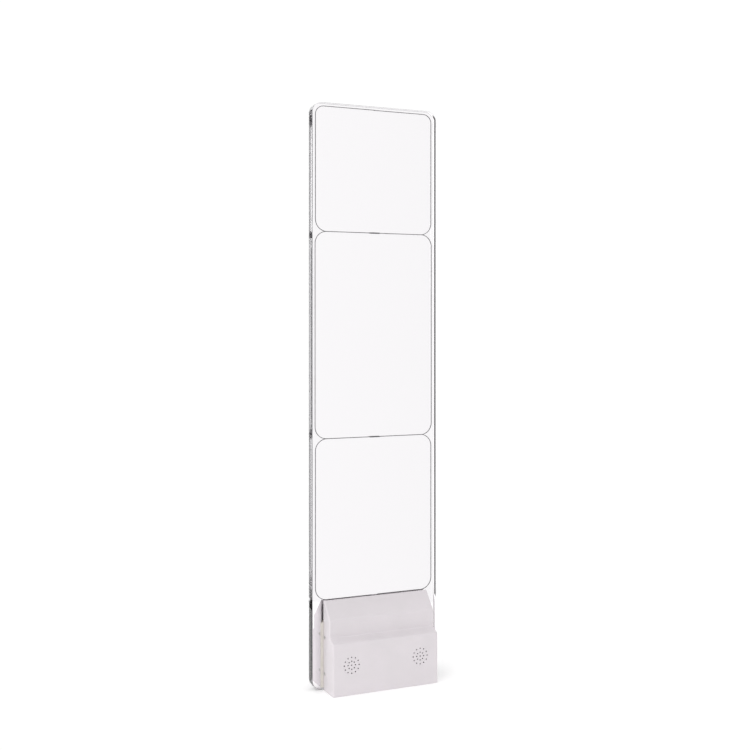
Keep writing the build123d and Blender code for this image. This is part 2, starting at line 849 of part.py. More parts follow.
# Fuse in its clips and the status lights
fuse_x, fuse_z = 84, 88
fuse_radius = 2.6
fuse_depth = board_top - 6
with BuildPart() as fuse_clips:
    for x in (fuse_x - 8, fuse_x + 8):
        with BuildSketch(end_plane(x - 2)):
            with Locations((-board_top + 4, fuse_z)):
                Rectangle(8, 7.6)
            with Locations((-fuse_depth, fuse_z)):
                Circle(fuse_radius + fit, mode=Mode.SUBTRACT)
            with Locations((-fuse_depth + 2, fuse_z)):
                Rectangle(4, 4, mode=Mode.SUBTRACT)
        extrude(amount=4)
with BuildPart() as fuse:
    with BuildSketch(end_plane(fuse_x - 11)):
        with Locations((-fuse_depth, fuse_z)):
            Circle(fuse_radius)
    extrude(amount=22)
with BuildPart() as status_leds:
    with BuildSketch(facing(board_top)):
        with Locations(*[(x, 132) for x in (-16, -4, 8)]):
            Circle(2.5)
    extrude(amount=-8)
    led_ends = status_leds.edges().filter_by(GeomType.CIRCLE)
    fillet(led_ends.filter_by_position(Axis.Y, -board_top + 7, -board_top + 9), radius=2.2)

# Floor cable gland in the entry plate
with BuildPart() as cable_gland:
    with BuildSketch(Plane.XY):
        with Locations((gland_x, gland_y)):
            Circle(gland_radius)
    extrude(amount=gland_top)
    with BuildSketch(Plane.XY.offset(plate + entry_sheet)):
        with Locations((gland_x, gland_y)):
            Circle(gland_radius + 3)
    extrude(amount=3)
    with BuildSketch(Plane.XY):
        with Locations((gland_x, gland_y)):
            Circle(gland_bore)
    extrude(amount=gland_top, mode=Mode.SUBTRACT)

# Internal leads: front side, through the passage, down to the terminals
left, right = passage_x - lead_offset, passage_x + lead_offset
low, high = passage_z - lead_offset, passage_z + lead_offset
entry = terminal_z + 6 - 4
entry_y = -board_top + 5


def through_passage(x, z, terminal):
    """Common stretch of every lead: through the panel, then down into its terminal."""
    return [
        (x, 12, z),
        (x, 29, z - 1),
        (x + (terminal - x) * 0.4, entry_y - 2, z - 17),
        (terminal, entry_y + 1, 166),
        (terminal, entry_y, 150),
        (terminal, entry_y, entry),
    ]


antenna_start = [
    (-6, -(face + 8.3), 204),
    (-6, -33, 204.5),
    (-24, -40, 204),
    (-38, -36, high + 1),
    (right, -24, high),
]
light_start = [
    (-66, -(face + 3.2), light_z - 3),
    (-66, -25, light_z - 3),
    (-62, -31, 214),
    (-52, -32, 205),
    (left, -24, high),
]
left_speaker_start = [
    (-83, -63.5, 83),
    (-72, -55, 88),
    (-66, -40, 106),
    (-66, -29, 122),
    (-66, -26, 142),
    (-65, -28, 162),
    (-60, -33, 180),
    (-51, -34, 193),
    (left, -24, low),
]
right_speaker_start = [
    (83, -63.5, 83),
    (70, -56, 90),
    (54, -44, 106),
    (38, -36, 118),
    (18, -31, 130),
    (-2, -28, 145),
    (-20, -30, 162),
    (-32, -34, 180),
    (-39, -34, 192),
    (right, -24, low),
]
with BuildPart() as antenna_lead:
    add(lead(antenna_start + through_passage(right, high, terminal_ways[3]), 1.5))
with BuildPart() as alarm_light_lead:
    add(lead(light_start + through_passage(left, high, terminal_ways[1]), 1.1))
with BuildPart() as speaker_leads:
    add(lead(left_speaker_start + through_passage(left, low, terminal_ways[0]), 1.2))
    add(lead(right_speaker_start + through_passage(right, low, terminal_ways[2]), 1.2))

pieces = {
    "front_sheet": front_sheet,
    "rear_sheet": rear_sheet,
    "antenna_conductor": antenna_conductor,
    "crossover_sleeves": crossover_sleeves,
    "feed_connector": feed_connector,
    "front_bracket": front_bracket,
    "rear_bracket": rear_bracket,
    "clamp_pads": clamp_pads,
    "clamp_bolts": clamp_bolts,
    "clamp_washers": clamp_washers,
    "clamp_nuts": clamp_nuts,
    "front_cover": front_cover,
    "front_cover_screws": front_cover_screws,
    "front_cover_nuts": front_cover_nuts,
    "rear_cover": rear_cover,
    "rear_cover_screws": rear_cover_screws,
    "rear_cover_nuts": rear_cover_nuts,
    "seal_strips": seal_strips,
    "cable_grommet": cable_grommet,
    "speaker_mounts": speaker_mounts,
    "speaker_mount_screws": speaker_mount_screws,
    "speaker_frames": speaker_frames,
    "speaker_magnets": speaker_magnets,
    "left_speaker_cone": left_speaker_cone,
    "right_speaker_cone": right_speaker_cone,
    "speaker_gaskets": speaker_gaskets,
    "speaker_screws": speaker_screws,
    "alarm_light_board": alarm_light_board,
    "alarm_leds": alarm_leds,
    "main_board": main_board,
    "board_standoffs": board_standoffs,
    "board_screws": board_screws,
    "transformer_core": transformer_core,
    "transformer_winding": transformer_winding,
    "smoothing_capacitors": smoothing_capacitors,
    "heatsink": heatsink,
    "power_transistors": power_transistors,
    "signal_chips": signal_chips,
    "terminal_blocks": terminal_blocks,
    "terminal_screws": terminal_screws,
    "trimmer_housings": trimmer_housings,
    "sensitivity_trimmer": sensitivity_trimmer,
    "volume_trimmer": volume_trimmer,
    "mode_switch_body": mode_switch_body,
    "mode_switch_slider": mode_switch_slider,
    "reset_switch_body": reset_switch_body,
    "reset_button": reset_button,
    "power_switch_body": power_switch_body,
    "power_rocker": power_rocker,
    "fuse_clips": fuse_clips,
    "fuse": fuse,
    "status_leds": status_leds,
    "entry_plate": entry_plate,
    "entry_plate_screws": entry_plate_screws,
    "cable_gland": cable_gland,
    "antenna_lead": antenna_lead,
    "alarm_light_lead": alarm_light_lead,
    "speaker_leads": speaker_leads,
}
os.makedirs("parts", exist_ok=True)
for name, piece in pieces.items():
    piece.part.label = name
    export_step(piece.part, f"parts/{name}.step")
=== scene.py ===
"""Looks of a retail security gate: a clear acrylic antenna pedestal on a two-sided plastic base.

The frame is the CAD's: +X along the panel, +Y to the rear, +Z up, origin on the floor.
Meshes are worked out in millimetres and stored in metres.
"""

import json
import math

import bmesh
import bpy
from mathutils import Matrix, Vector


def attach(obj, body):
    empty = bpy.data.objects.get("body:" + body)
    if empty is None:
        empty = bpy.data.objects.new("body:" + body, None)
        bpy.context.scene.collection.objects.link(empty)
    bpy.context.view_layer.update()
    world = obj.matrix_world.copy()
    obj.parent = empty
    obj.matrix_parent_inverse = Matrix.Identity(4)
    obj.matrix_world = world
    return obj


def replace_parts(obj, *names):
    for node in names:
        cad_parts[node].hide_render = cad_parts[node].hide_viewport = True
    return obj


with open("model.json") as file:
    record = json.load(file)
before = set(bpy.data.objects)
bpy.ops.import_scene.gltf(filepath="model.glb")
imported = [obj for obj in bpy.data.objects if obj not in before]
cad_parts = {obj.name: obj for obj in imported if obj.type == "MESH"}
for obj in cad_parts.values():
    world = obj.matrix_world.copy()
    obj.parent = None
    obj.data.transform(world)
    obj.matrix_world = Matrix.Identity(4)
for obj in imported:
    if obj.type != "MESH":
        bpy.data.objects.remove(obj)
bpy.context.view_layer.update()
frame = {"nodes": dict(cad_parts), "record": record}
nodes = frame["nodes"]
slots = {part["node"]: part["material_slot"] for part in frame["record"]["subparts"]}
MM = 0.001


# ---------------------------------------------------------------- materials

class Look:
    """A Principled material whose detail comes from nodes in object space, in metres."""

    def __init__(self, name, colour, roughness, **sockets):
        self.material = bpy.data.materials.new(name)
        self.material.use_nodes = True
        self.tree = self.material.node_tree
        self.shader = self.tree.nodes["Principled BSDF"]
        self.shader.inputs["Base Color"].default_value = (*colour, 1)
        self.shader.inputs["Roughness"].default_value = roughness
        for socket, value in sockets.items():
            self.shader.inputs[socket.replace("_", " ")].default_value = value
        self.colour = (*colour, 1)
        self.space = self.node("TexCoord")
        self.last_bump = None

    def node(self, kind, inputs=(), **settings):
        made = self.tree.nodes.new("ShaderNode" + kind)
        for key, value in settings.items():
            setattr(made, key, value)
        for socket, value in dict(inputs).items():
            if isinstance(value, bpy.types.NodeSocket):
                self.tree.links.new(value, made.inputs[socket])
            else:
                made.inputs[socket].default_value = value
        return made

    def place(self, stretch=(1, 1, 1), turn=(0, 0, 0), move=(0, 0, 0)):
        """Object coordinates; a stretch over 1 draws the pattern out along that axis."""
        scale = [1 / amount for amount in stretch]
        inputs = {"Vector": self.space.outputs["Object"], "Scale": scale}
        inputs.update({"Rotation": turn, "Location": move})
        return self.node("Mapping", inputs).outputs["Vector"]

    def noise(self, size, detail=3, rough=0.5, **place):
        inputs = {"Vector": self.place(**place), "Scale": 1 / size, "Detail": detail, "Roughness": rough}
        return self.node("TexNoise", inputs).outputs["Fac"]

    def cells(self, size, randomness=1, **place):
        inputs = {"Vector": self.place(**place), "Scale": 1 / size, "Randomness": randomness}
        return self.node("TexVoronoi", inputs).outputs["Distance"]

    def waves(self, size, direction="X", distortion=0, **place):
        inputs = {"Vector": self.place(**place), "Scale": 0.314 / size, "Distortion": distortion}
        settings = {"wave_type": "BANDS", "bands_direction": direction}
        return self.node("TexWave", inputs, **settings).outputs["Fac"]

    def remap(self, value, low, high, to_low=0, to_high=1):
        inputs = {0: value, 1: low, 2: high, 3: to_low, 4: to_high}
        return self.node("MapRange", inputs).outputs[0]

    def maths(self, operation, first, second=0):
        return self.node("Math", {0: first, 1: second}, operation=operation).outputs[0]

    def part(self, output, axis):
        """One component of a texture coordinate output."""
        return self.node("SeparateXYZ", {0: self.space.outputs[output]}).outputs[axis]

    def tint(self, factor, colour):
        """Mixes another colour over what the surface has so far."""
        current = self.shader.inputs["Base Color"]
        below = current.links[0].from_socket if current.is_linked else self.colour
        inputs = {"Factor": factor, "A": below, "B": (*colour, 1)}
        mix = self.node("Mix", data_type="RGBA")
        for name, value in inputs.items():
            kind = "VALUE" if name == "Factor" else "RGBA"
            socket = next(s for s in mix.inputs if s.name == name and s.type == kind)
            if isinstance(value, bpy.types.NodeSocket):
                self.tree.links.new(value, socket)
            else:
                socket.default_value = value
        result = next(s for s in mix.outputs if s.type == "RGBA")
        self.tree.links.new(result, current)

    def shine(self, factor, low, high):
        """Roughness runs from low to high as the factor goes from 0 to 1."""
        self.tree.links.new(self.remap(factor, 0, 1, low, high), self.shader.inputs["Roughness"])

    def metal(self, factor):
        self.tree.links.new(factor, self.shader.inputs["Metallic"])

    def relief(self, height, depth):
        """Adds bumps that stand depth millimetres high."""
        inputs = {"Height": height, "Distance": depth * MM, "Strength": 1}
        if self.last_bump:
            inputs["Normal"] = self.last_bump
        self.last_bump = self.node("Bump", inputs).outputs["Normal"]
        self.tree.links.new(self.last_bump, self.shader.inputs["Normal"])


def acrylic():
    look = Look("polished_acrylic", (1.0, 0.985, 1.0), 0, IOR=1.49, Transmission_Weight=1)
    look.relief(look.noise(0.09, 2), 0.02)
    return look


def acrylic_edge():
    """Polished rim: greyer than the faces, with faint saw waves along its height."""
    look = Look("flame_polished_edge", (0.78, 0.775, 0.79), 0, IOR=1.49, Transmission_Weight=1)
    look.relief(look.noise(0.02, 2, stretch=(1, 1, 14)), 0.03)
    look.relief(look.noise(0.0012, 1, stretch=(1, 1, 30)), 0.001)
    return look


def tinned_strand():
    look = Look("tinned_strand", (0.17, 0.162, 0.178), 0.42, Metallic=0.3)
    weave = look.waves(0.0011, "DIAGONAL")
    cross = look.waves(0.0011, "DIAGONAL", stretch=(1, 1, -1))
    braid = look.maths("MAXIMUM", weave, cross)
    # Painted shade: the low lines of the braid, which the relief below sinks, are tinted darker as shade in
    # the creases between the wires.
    look.tint(look.remap(braid, 0.1, 0.8, 0.35, 0), (0.08, 0.076, 0.084))
    look.tint(look.remap(look.noise(0.02, 4), 0.5, 0.8, 0, 0.5), (0.23, 0.215, 0.21))
    look.shine(look.noise(0.004), 0.34, 0.5)
    look.relief(braid, 0.12)
    return look


def shrink_sleeve():
    look = Look("heat_shrink_sleeve", (0.09, 0.085, 0.095), 0.45)
    look.tint(look.remap(look.noise(0.004, 4), 0.4, 0.7), (0.13, 0.12, 0.13))
    look.relief(look.waves(0.003, "X", 2), 0.08)
    look.shine(look.noise(0.001), 0.38, 0.52)
    return look


def moulded_cover():
    look = Look("satin_moulding", (0.69, 0.648, 0.674), 0.42)
    look.tint(look.remap(look.noise(0.07, 3), 0.35, 0.65), (0.665, 0.628, 0.65))
    grain = look.noise(0.00055, 2, 0.6)
    pits = look.cells(0.0011)
    look.tint(look.remap(grain, 0.45, 0.62, 0, 0.18), (0.58, 0.545, 0.565))
    look.shine(look.noise(0.012, 4), 0.36, 0.5)
    look.relief(grain, 0.06)
    look.relief(look.remap(pits, 0, 0.6), 0.02)
    return look


def powder_coat():
    look = Look("powder_coated_steel", (0.74, 0.69, 0.6), 0.4)
    peel = look.noise(0.0016, 2, 0.4)
    look.tint(look.remap(look.noise(0.03, 5), 0.4, 0.7), (0.7, 0.65, 0.565))
    look.tint(look.remap(look.noise(0.0007, 1), 0.64, 0.7), (0.6, 0.55, 0.46))
    look.shine(peel, 0.32, 0.48)
    look.relief(peel, 0.1)
    return look


def zinc_plate():
    look = Look("zinc_plated_steel", (0.6, 0.6, 0.585), 0.34, Metallic=1)
    bloom = look.noise(0.0035, 4)
    look.tint(look.remap(bloom, 0.42, 0.66), (0.47, 0.485, 0.5))
    look.tint(look.remap(look.noise(0.009, 3), 0.55, 0.75, 0, 0.6), (0.62, 0.56, 0.43))
    look.shine(look.noise(0.0012, 2), 0.26, 0.46)
    look.relief(look.waves(0.00045, "Z", 1.5), 0.015)
    look.relief(bloom, 0.02)
    return look


def black_rubber(name="black_rubber", colour=(0.022, 0.022, 0.024), roughness=0.72):
    look = Look(name, colour, roughness)
    speckle = look.noise(0.0008, 3, 0.7)
    look.tint(look.remap(speckle, 0.5, 0.75, 0, 0.7), tuple(2.2 * value for value in colour))
    look.tint(look.remap(look.noise(0.015, 4), 0.5, 0.8, 0, 0.5), tuple(1.6 * value for value in colour))
    look.shine(look.noise(0.003), roughness - 0.1, roughness + 0.08)
    look.relief(speckle, 0.05)
    return look


def seal_strip():
    look = Look("beige_seal_strip", (0.66, 0.63, 0.585), 0.6)
    cell = look.noise(0.0009, 3, 0.6)
    look.tint(look.remap(look.noise(0.02, 4), 0.45, 0.7), (0.61, 0.58, 0.53))
    look.tint(look.remap(cell, 0.5, 0.7, 0, 0.4), (0.5, 0.47, 0.42))
    look.shine(cell, 0.5, 0.7)
    look.relief(cell, 0.06)
    return look


def painted_basket():
    look = Look("black_painted_steel", (0.028, 0.028, 0.031), 0.33)
    peel = look.noise(0.0011, 2)
    look.tint(look.remap(look.noise(0.006, 5), 0.55, 0.72, 0, 0.7), (0.06, 0.06, 0.063))
    look.shine(peel, 0.25, 0.42)
    look.relief(peel, 0.06)
    return look


def ferrite():
    look = Look("sintered_ferrite", (0.045, 0.045, 0.05), 0.55, Metallic=0.25)
    pores = look.cells(0.0014)
    look.tint(look.remap(look.noise(0.002, 5, 0.7), 0.45, 0.7), (0.085, 0.083, 0.085))
    # Painted shade: the pores, which the relief below sinks as pits, are tinted near black as shade inside
    # them.
    look.tint(look.remap(pores, 0.12, 0.2, 0.8, 0), (0.012, 0.012, 0.013))
    look.shine(look.noise(0.0009), 0.45, 0.68)
    look.relief(look.remap(pores, 0.05, 0.25), 0.08)
    return look


def cone_paper():
    """Fine rings on the surround, paper fibres on the cone; both speakers lie at one height."""
    look = Look("coated_cone_paper", (0.03, 0.028, 0.027), 0.62)
    speaker_x, speaker_z = 0.102, 0.0805
    cone_radius, surround_radius = 0.0185, 0.0195
    ring_turns = 3600
    side = look.maths("SUBTRACT", look.maths("ABSOLUTE", look.part("Object", "X")), speaker_x)
    up = look.maths("SUBTRACT", look.part("Object", "Z"), speaker_z)
    squares = look.maths("ADD", look.maths("POWER", side, 2), look.maths("POWER", up, 2))
    radius = look.maths("SQRT", squares)
    ripple = look.maths("SINE", look.maths("MULTIPLY", radius, ring_turns))
    outer = look.remap(radius, cone_radius, surround_radius)
    fibre = look.noise(0.0012, 6, 0.75)
    look.tint(look.remap(fibre, 0.5, 0.7, 0, 0.8), (0.062, 0.058, 0.054))
    look.tint(outer, (0.016, 0.016, 0.017))
    look.shine(outer, 0.66, 0.45)
    look.relief(look.maths("MULTIPLY", ripple, outer), 0.25)
    look.relief(fibre, 0.06)
    return look


def foam():
    look = Look("closed_cell_foam", (0.05, 0.05, 0.052), 0.88)
    pores = look.cells(0.0008)
    # Painted shade: the pores, which the relief below sinks as pits, are tinted darker as shade inside
    # them.
    look.tint(look.remap(pores, 0.1, 0.5, 0.9, 0), (0.018, 0.018, 0.019))
    look.tint(look.remap(look.noise(0.006, 3), 0.5, 0.7, 0, 0.5), (0.085, 0.085, 0.088))
    look.relief(look.remap(pores, 0.1, 0.6), 0.25)
    return look


def circuit_board(name, mask, track, pads):
    """Solder mask over tracks, with tinned pads and plated holes on a 2.54 mm grid."""
    look = Look(name, mask, 0.3, Coat_Weight=0.35, Coat_Roughness=0.12)
    flat = {"turn": (math.pi / 2, 0, 0)}
    runs = []
    for size, seed in ((0.0076, 0.003), (0.0127, 0.011)):
        vector = look.place(move=(seed, 0, seed), **flat)
        inputs = {"Vector": vector, "Scale": 1, "Mortar Size": 0.0005, "Mortar Smooth": 0.1}
        inputs.update({"Brick Width": size * 2.3, "Row Height": size, "Bias": 0})
        runs.append(look.node("TexBrick", inputs, offset=0.37, squash=0.8).outputs["Fac"])
    lines = look.maths("MAXIMUM", runs[0], runs[1])
    pour = look.remap(look.noise(0.05, 1), 0.52, 0.54)
    copper = look.maths("MAXIMUM", lines, pour)
    look.tint(look.remap(copper, 0, 1, 0, 0.85), track)
    dots = look.cells(0.00508, randomness=0.25, stretch=(1, 6, 1))
    ring = look.maths("MULTIPLY", look.remap(dots, 0.17, 0.15), look.remap(look.noise(0.018, 1), 0.5, 0.52))
    hole = look.remap(dots, 0.08, 0.07)
    look.tint(ring, pads)
    look.tint(look.maths("MULTIPLY", ring, hole), (0.02, 0.02, 0.02))
    look.metal(look.maths("MULTIPLY", ring, 0.9))
    look.tint(look.remap(look.noise(0.0011, 4), 0.5, 0.75, 0, 0.25), tuple(0.5 * value for value in mask))
    look.relief(copper, 0.05)
    look.relief(ring, 0.06)
    return look


def led_epoxy():
    look = Look("red_led_epoxy", (0.62, 0.025, 0.018), 0.16, Coat_Weight=0.5, Coat_Roughness=0.05)
    glow = look.cells(0.004)
    look.tint(look.remap(glow, 0.1, 0.5, 0.6, 0), (0.85, 0.12, 0.06))
    look.shine(look.noise(0.002), 0.12, 0.24)
    look.relief(look.noise(0.0015, 2), 0.02)
    return look


def laminations():
    look = Look("varnished_laminations", (0.16, 0.155, 0.15), 0.42, Metallic=0.75)
    sheets = look.waves(0.0007, "Y", 0.4)
    look.tint(look.remap(sheets, 0.2, 0.7, 0.8, 0), (0.055, 0.05, 0.045))
    look.tint(look.remap(look.noise(0.01, 5), 0.52, 0.75, 0, 0.7), (0.2, 0.11, 0.05))
    look.shine(look.noise(0.003), 0.3, 0.58)
    look.relief(sheets, 0.12)
    return look


def winding_tape():
    look = Look("polyester_tape", (0.66, 0.4, 0.035), 0.28, Coat_Weight=0.3, Coat_Roughness=0.1)
    laps = look.waves(0.0095, "Z", 0.3)
    look.tint(look.remap(laps, 0.86, 0.98, 0, 0.6), (0.4, 0.22, 0.02))
    turns = look.waves(0.0006, "Z", 0.8)
    # Painted shade: the grooves between the winding turns under the tape, which the relief sinks, are
    # tinted a darker amber.
    look.tint(look.remap(turns, 0.2, 0.9, 0.25, 0), (0.42, 0.23, 0.03))
    look.shine(look.noise(0.003), 0.2, 0.38)
    look.relief(laps, 0.18)
    look.relief(turns, 0.04)
    return look


def capacitor_sleeve():
    look = Look("capacitor_sleeve", (0.012, 0.018, 0.045), 0.24)
    end = look.remap(look.part("Normal", "Y"), 0.8, 0.9)
    stripe = look.remap(look.maths("ABSOLUTE", look.part("Normal", "X")), 0.93, 0.96)
    dashes = look.remap(look.waves(0.006, "Y"), 0.3, 0.4)
    look.tint(look.maths("MULTIPLY", stripe, dashes), (0.62, 0.64, 0.68))
    look.tint(end, (0.66, 0.67, 0.68))
    look.metal(end)
    look.tint(look.remap(look.noise(0.003, 4), 0.55, 0.75, 0, 0.3), (0.05, 0.06, 0.09))
    look.shine(look.noise(0.002), 0.18, 0.34)
    look.relief(look.noise(0.005, 2), 0.06)
    return look


def brushed_aluminium():
    look = Look("extruded_aluminium", (0.62, 0.63, 0.645), 0.32, Metallic=1)
    lines = look.noise(0.0007, 3, stretch=(1, 25, 1))
    look.tint(look.remap(lines, 0.4, 0.65), (0.5, 0.51, 0.53))
    look.tint(look.remap(look.noise(0.008, 4), 0.55, 0.75, 0, 0.5), (0.44, 0.45, 0.47))
    look.shine(lines, 0.24, 0.44)
    look.relief(lines, 0.04)
    return look


def chip_epoxy():
    look = Look("chip_moulding", (0.014, 0.014, 0.016), 0.5)
    grain = look.noise(0.0005, 2, 0.6)
    look.tint(look.remap(grain, 0.4, 0.7), (0.028, 0.028, 0.031))
    look.tint(look.remap(look.cells(0.02), 0.06, 0.055), (0.06, 0.06, 0.063))
    look.shine(grain, 0.42, 0.6)
    look.relief(grain, 0.03)
    return look


def polyamide(name, colour, roughness=0.4):
    """Glass-filled moulding: faint fibres, slight colour change, soft gloss."""
    look = Look(name, colour, roughness)
    fibres = look.noise(0.0007, 3, stretch=(1, 1, 4))
    look.tint(look.remap(fibres, 0.45, 0.7, 0, 0.4), tuple(min(1, 1.5 * value + 0.01) for value in colour))
    look.tint(look.remap(look.noise(0.007, 4), 0.5, 0.75, 0, 0.4), tuple(0.7 * value for value in colour))
    look.shine(look.noise(0.0015), roughness - 0.1, roughness + 0.1)
    look.relief(fibres, 0.03)
    return look


def fuse_glass():
    look = Look("fuse_glass", (0.95, 0.975, 0.965), 0, IOR=1.52, Transmission_Weight=1)
    look.relief(look.noise(0.005, 2), 0.03)
    return look


def tinned_brass():
    look = Look("tinned_brass", (0.66, 0.55, 0.3), 0.3, Metallic=1)
    look.tint(look.remap(look.noise(0.003, 4), 0.45, 0.65), (0.62, 0.6, 0.55))
    look.tint(look.remap(look.noise(0.0011, 5), 0.6, 0.75, 0, 0.7), (0.35, 0.26, 0.12))
    look.shine(look.noise(0.0009), 0.22, 0.44)
    look.relief(look.noise(0.0006, 2), 0.02)
    return look


GREEN_MASK, GREEN_TRACK, TIN = (0.008, 0.11, 0.038), (0.02, 0.2, 0.075), (0.72, 0.72, 0.7)
WHITE_MASK, WHITE_TRACK, GILT = (0.72, 0.73, 0.72), (0.6, 0.62, 0.61), (0.8, 0.68, 0.4)

looks = {
    "acrylic": acrylic(),
    "antenna_conductor": tinned_strand(),
    "crossover_sleeve": shrink_sleeve(),
    "cover_plastic": moulded_cover(),
    "bracket_steel": powder_coat(),
    "zinc_steel": zinc_plate(),
    "pad_rubber": black_rubber(),
    "seal_strip": seal_strip(),
    "speaker_basket": painted_basket(),
    "ferrite": ferrite(),
    "cone_paper": cone_paper(),
    "gasket_foam": foam(),
    "board_laminate": circuit_board("green_board", GREEN_MASK, GREEN_TRACK, TIN),
    "light_board": circuit_board("white_board", WHITE_MASK, WHITE_TRACK, GILT),
    "led_lens": led_epoxy(),
    "core_steel": laminations(),
    "winding_tape": winding_tape(),
    "capacitor_sleeve": capacitor_sleeve(),
    "heatsink_aluminium": brushed_aluminium(),
    "chip_epoxy": chip_epoxy(),
    "terminal_plastic": polyamide("green_polyamide", (0.02, 0.2, 0.08)),
    "switch_plastic": polyamide("black_polyamide", (0.02, 0.02, 0.022)),
    "trimmer_plastic": polyamide("blue_polyamide", (0.02, 0.08, 0.36)),
    "rotor_plastic": polyamide("white_polyamide", (0.74, 0.73, 0.7), 0.35),
    "fuse_glass": fuse_glass(),
    "clip_brass": tinned_brass(),
    "lead_jacket": black_rubber("black_lead_jacket", (0.018, 0.018, 0.02), 0.38),
    "lead_red": black_rubber("red_lead_jacket", (0.34, 0.012, 0.01), 0.38),
}
edge_look = acrylic_edge()
for name, obj in nodes.items():
    for slot in obj.material_slots:
        slot.material = looks[slots[name]].material


# ---------------------------------------------------------------- mesh helpers

def keep(bm, name, slot, smooth, extra=(), body="frame"):
    """Turns a mesh worked out in millimetres into a piece that rides on a body."""
    bmesh.ops.scale(bm, vec=(MM, MM, MM), verts=bm.verts)
    bmesh.ops.recalc_face_normals(bm, faces=bm.faces)
    mesh = bpy.data.meshes.new(name)
    bm.to_mesh(mesh)
    bm.free()
    mesh.shade_smooth()
    mesh.set_sharp_from_angle(angle=math.radians(smooth))
    piece = bpy.data.objects.new(name, mesh)
    bpy.context.scene.collection.objects.link(piece)
    for look in (looks[slot], *extra):
        mesh.materials.append(look.material)
    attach(piece, body)
    return piece


def bridge(bm, rings, material=0):
    """Joins closed rings of equal length with quads."""
    for before, after in zip(rings, rings[1:]):
        count = len(before)
        for i in range(count):
            j = (i + 1) % count
            bm.faces.new((before[i], before[j], after[j], after[i])).material_index = material


def rounded_outline(width, height, radius, middle, steps=20):
    """Points of a rounded rectangle, from its right side upwards."""
    points = []
    for corner, (sx, sz) in enumerate(((1, 1), (-1, 1), (-1, -1), (1, -1))):
        centre_x = middle[0] + sx * (width / 2 - radius)
        centre_z = middle[1] + sz * (height / 2 - radius)
        for step in range(steps + 1):
            angle = math.radians(90 * (corner + step / steps))
            points.append((centre_x + radius * math.cos(angle), centre_z + radius * math.sin(angle)))
    return points


def circle_outline(x, z, radius, steps=32):
    turns = [2 * math.pi * step / steps for step in range(steps)]
    return [(x + radius * math.cos(turn), z + radius * math.sin(turn)) for turn in turns]


def rounded_route(corners, radii, step=6):
    """Straight runs joined by arcs, as points close enough to look round."""
    points = [Vector(corners[0])]
    for before, here, after, radius in zip(corners, corners[1:], corners[2:], radii):
        here = Vector(here)
        arrive = (here - Vector(before)).normalized()
        leave = (Vector(after) - here).normalized()
        turn = arrive.angle_signed(leave)
        reach = radius * math.tan(abs(turn) / 2)
        start = here - arrive * reach
        inward = Vector((-arrive.y, arrive.x)) * (-1 if turn > 0 else 1)
        centre = start + inward * radius
        count = max(2, round(math.degrees(abs(turn)) / step))
        for i in range(count + 1):
            angle = -turn * i / count
            arm = start - centre
            points.append(centre + Vector((
                arm.x * math.cos(angle) - arm.y * math.sin(angle),
                arm.x * math.sin(angle) + arm.y * math.cos(angle),
            )))
    points.append(Vector(corners[-1]))
    return points


def add_strip(bm, points, back, width, depth, edge=0.25):
    """Flat bar swept along points in an upright plane; back is its rearmost Y."""
    half, deep = width / 2, depth / 2
    section = [
        (-half + edge, -deep), (half - edge, -deep), (half, -deep + edge), (half, deep - edge),
        (half - edge, deep), (-half + edge, deep), (-half, deep - edge), (-half, -deep + edge),
    ]
    rings = []
    for i, point in enumerate(points):
        along = (points[min(i + 1, len(points) - 1)] - points[max(i - 1, 0)]).normalized()
        side = Vector((along.y, -along.x))
        ring = [(point.x + side.x * u, back - deep + v, point.y + side.y * u) for u, v in section]
        rings.append([bm.verts.new(place) for place in ring])
    bridge(bm, rings)
    bm.faces.new(rings[0])
    bm.faces.new(rings[-1])


def add_block(bm, low, high, edge=0.15):
    """Block between two corners with its edges broken."""
    size = Vector(high) - Vector(low)
    made = bmesh.ops.create_cube(bm, size=1)["verts"]
    for vert in made:
        vert.co = Vector(low) + Vector([(c + 0.5) * s for c, s in zip(vert.co, size)])
    edges = list({e for vert in made for e in vert.link_edges})
    offset = min(edge, min(size) * 0.3)
    bmesh.ops.bevel(bm, geom=edges, offset=offset, segments=2, affect="EDGES", profile=0.6)


# ---------------------------------------------------------------- clear panel

PANEL_WIDTH, PANEL_HEIGHT, PANEL_HALF, PANEL_CORNER = 375, 1600, 15, 28
PANEL_ARRIS = 0.8
CLAMP_SPOTS = [(x, z) for x in (-50, 50) for z in (45, 150)]
CLAMP_HOLE = 5.25
PASSAGE_SPOT, PASSAGE_HOLE = (-45, 200), 8
FLAT_MARGIN = 0.01


def panel_loops(inset):
    """Outline and holes of one section of the panel; inset breaks its edges."""
    size = (PANEL_WIDTH - 2 * inset, PANEL_HEIGHT - 2 * inset)
    loops = [rounded_outline(*size, PANEL_CORNER - inset, (0, PANEL_HEIGHT / 2))]
    loops += [circle_outline(x, z, CLAMP_HOLE + inset) for x, z in CLAMP_SPOTS]
    loops.append(circle_outline(*PASSAGE_SPOT, PASSAGE_HOLE + inset))
    return loops


